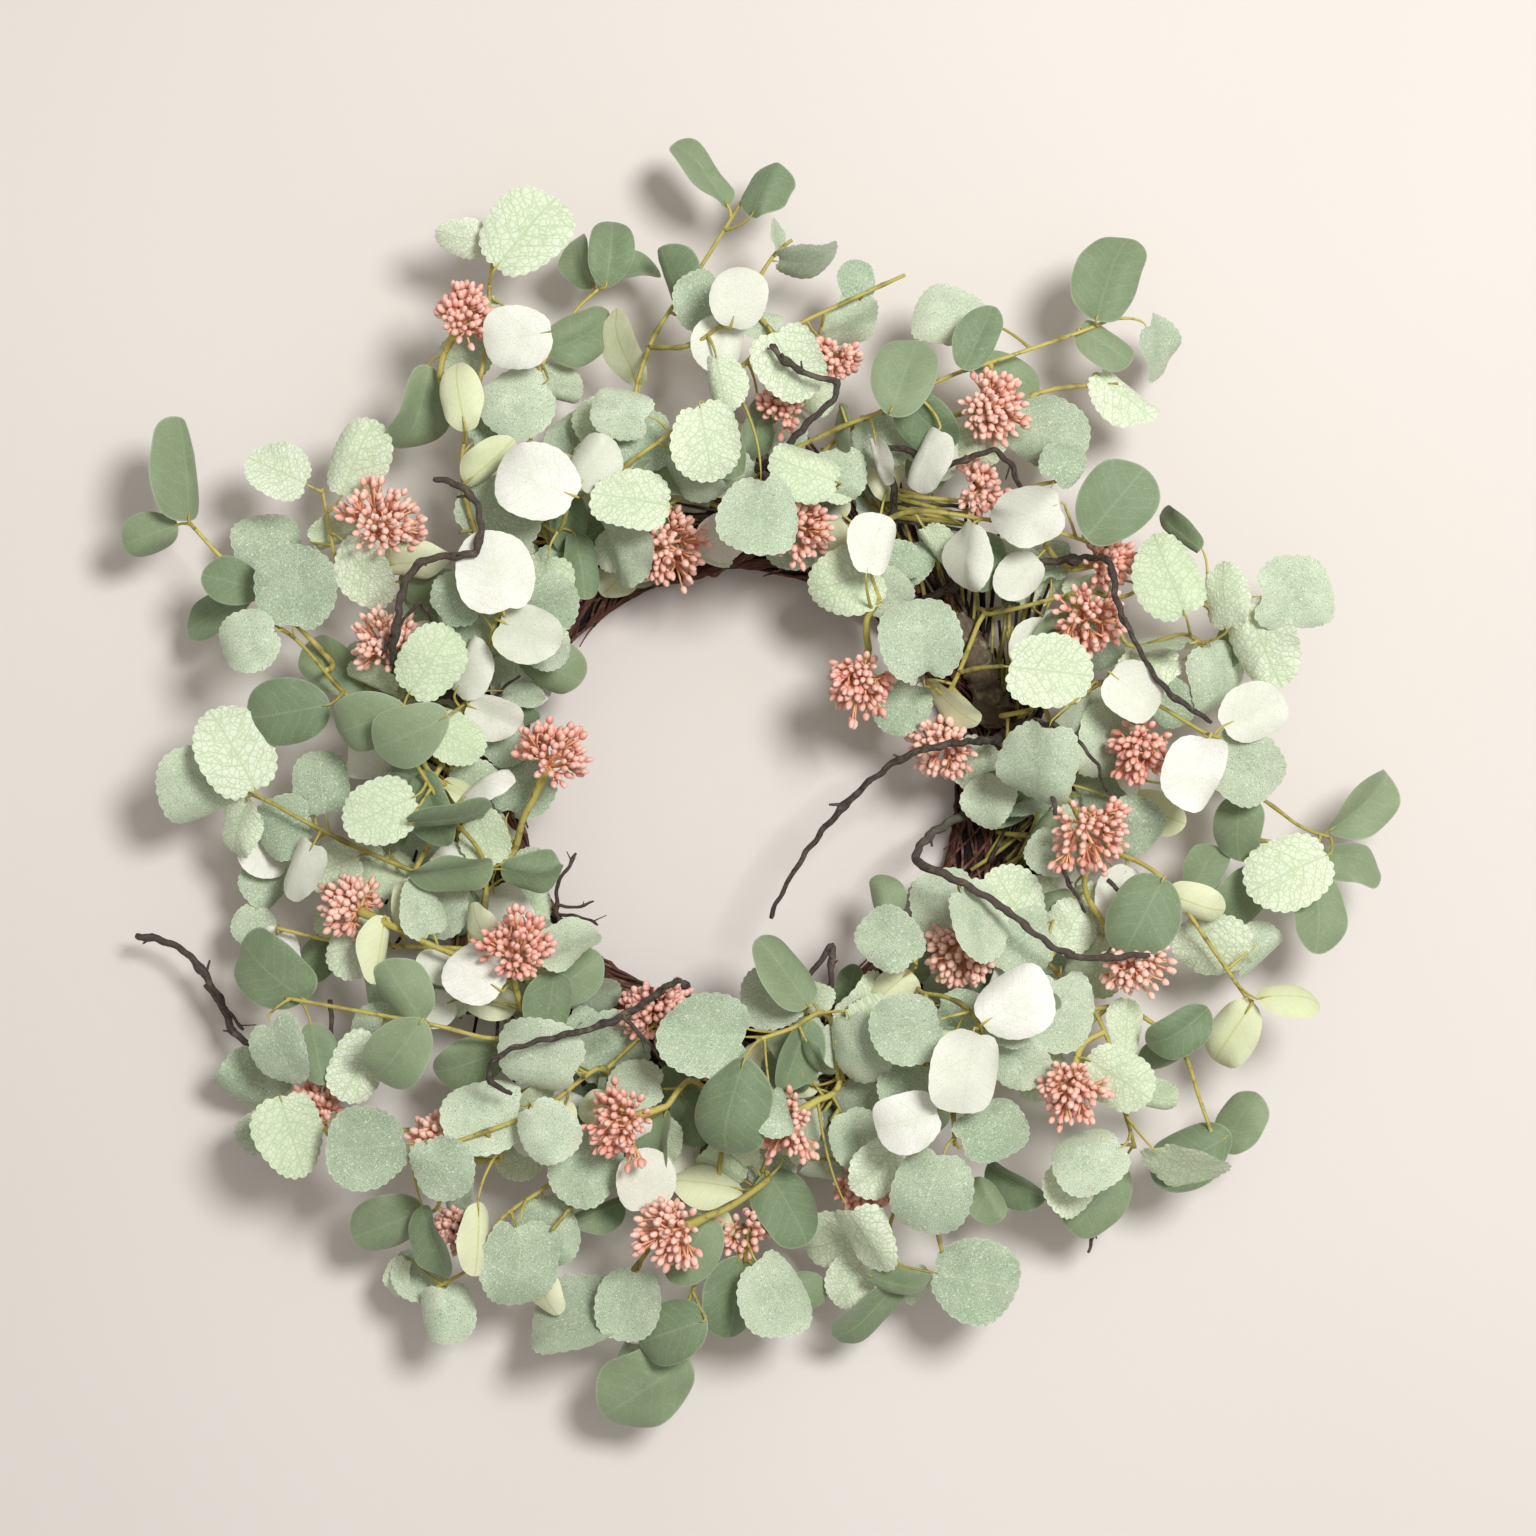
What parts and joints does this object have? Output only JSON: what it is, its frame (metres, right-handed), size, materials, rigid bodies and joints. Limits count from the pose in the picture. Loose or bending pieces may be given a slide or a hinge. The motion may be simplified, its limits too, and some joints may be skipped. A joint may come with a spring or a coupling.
{
  "type": "eucalyptus wreath",
  "caption": "Decorative wreath of eucalyptus sprays, berry clusters and bare twigs on a ring of bound vine.",
  "frame": {"origin": "on the surface that the wreath lies on, under the middle of its outline", "axes": "+Z out of the wreath's front, +X to its right and +Y to its top as it would hang"},
  "size_m": [0.6112, 0.6216, 0.1264],
  "materials": {
    "foliage": "matte, powdery green leaf",
    "berry": "coral pink, slightly waxy berry skin",
    "twig": "dry grey brown bark",
    "vine": "dry reddish brown vine",
    "stem": "smooth olive green stem",
    "lichen_branch": "grey, lichened bark"
  },
  "bodies": {
    "root": {"berries_01": "berry", "berries_02": "berry", "berries_03": "berry", "berries_04": "berry", "berries_05": "berry", "berries_06": "berry", "berries_07": "berry", "berries_08": "berry", "berries_09": "berry", "berries_10": "berry", "berries_11": "berry", "berries_12": "berry", "berries_13": "berry", "berries_14": "berry", "berries_15": "berry", "berries_16": "berry", "berries_17": "berry", "berries_18": "berry", "berries_19": "berry", "berries_20": "berry", "berries_21": "berry", "berries_22": "berry", "berries_23": "berry", "berries_24": "berry", "knobbly_branch": "lichen_branch", "loose_vine": "vine", "spray_bottom_inner": "foliage", "spray_bottom_left": "foliage", "spray_bottom_right": "foliage", "spray_bottom_right_front": "foliage", "spray_left": "foliage", "spray_left_high": "foliage", "spray_left_low": "foliage", "spray_left_lower": "foliage", "spray_low_left": "foliage", "spray_low_right": "foliage", "spray_lower_left_outer": "foliage", "spray_right": "foliage", "spray_right_high": "foliage", "spray_right_low": "foliage", "spray_right_of_top": "foliage", "spray_right_outer": "foliage", "spray_top": "foliage", "spray_top_left": "foliage", "spray_top_left_inner": "foliage", "spray_top_right": "foliage", "spray_upper_left": "foliage", "spray_upper_right": "foliage", "twig_arching": "twig", "twig_bottom": "twig", "twig_bottom_left": "twig", "twig_left_loop": "twig", "twig_left_low": "twig", "twig_right": "twig", "twig_right_low": "twig", "twig_right_top": "twig", "twig_top": "twig", "twig_top_right": "twig", "vine_ring": "vine"}
  },
  "joints": []
}
